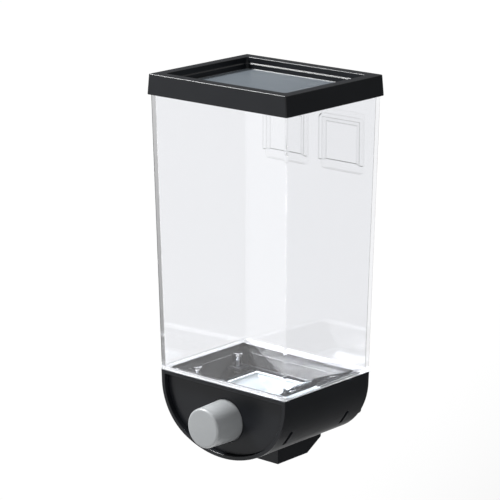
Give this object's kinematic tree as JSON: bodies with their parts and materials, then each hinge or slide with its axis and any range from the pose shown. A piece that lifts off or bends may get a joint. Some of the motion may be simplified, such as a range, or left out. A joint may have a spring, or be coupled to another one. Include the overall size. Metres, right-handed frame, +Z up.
{
  "type": "cereal dispenser",
  "caption": "Wall-hung dry food dispenser: clear tapered tank, black lift-off lid, black rounded base with a press button, sliding gate and drop chute, on adhesive hook plates.",
  "frame": {"origin": "on the wall's plane, midway between the two adhesive hook plates", "axes": "+X to the right as seen from the front, +Y into the wall, +Z up"},
  "size_m": [0.115, 0.1104, 0.255],
  "materials": {
    "black_plastic": "satin moulded ABS",
    "clear_plastic": "clear polished polystyrene",
    "grey_plastic": "fine satin",
    "white_plastic": "satin acetal",
    "silicone": "translucent matte silicone",
    "rubber": "matte",
    "steel": "bright zinc",
    "adhesive": "clear acrylic gel"
  },
  "bodies": {
    "wall_plates": {"hook_plate_left": "clear_plastic", "hook_plate_right": "clear_plastic", "adhesive_pad_left": "adhesive", "adhesive_pad_right": "adhesive"},
    "dispenser": {"tank": "clear_plastic", "hook_rail_left": "clear_plastic", "hook_rail_right": "clear_plastic", "outlet_seal": "silicone", "dosing_funnel": "white_plastic", "mechanism_cradle": "black_plastic", "chute": "black_plastic", "base_shell": "black_plastic", "front_panel": "black_plastic", "return_spring": "steel", "wall_bumper_left": "rubber", "wall_bumper_right": "rubber", "chute_screw_left": "steel", "chute_screw_right": "steel", "panel_screw_left": "steel", "panel_screw_right": "steel", "tank_screw_front_left": "steel", "tank_screw_front_right": "steel", "tank_screw_back_left": "steel", "tank_screw_back_right": "steel"},
    "lid": {"lid_shell": "black_plastic", "lid_seal": "silicone"},
    "plunger": {"button_cap": "grey_plastic", "gate_slider": "white_plastic"}
  },
  "joints": [
    {"name": "dispenser_lift", "type": "slide", "parent": "wall_plates", "child": "dispenser", "axis": [0, 0, 1], "range_m": [0, 0.04]},
    {"name": "lid_lift", "type": "slide", "parent": "dispenser", "child": "lid", "axis": [0, 0, 1], "range_m": [0, 0.03]},
    {"name": "button_press", "type": "slide", "parent": "dispenser", "child": "plunger", "axis": [0, 1, 0], "range_m": [0, 0.014], "stiffness_N_per_m": 250, "springref_m": -0.02, "deforming": ["return_spring"]}
  ]
}
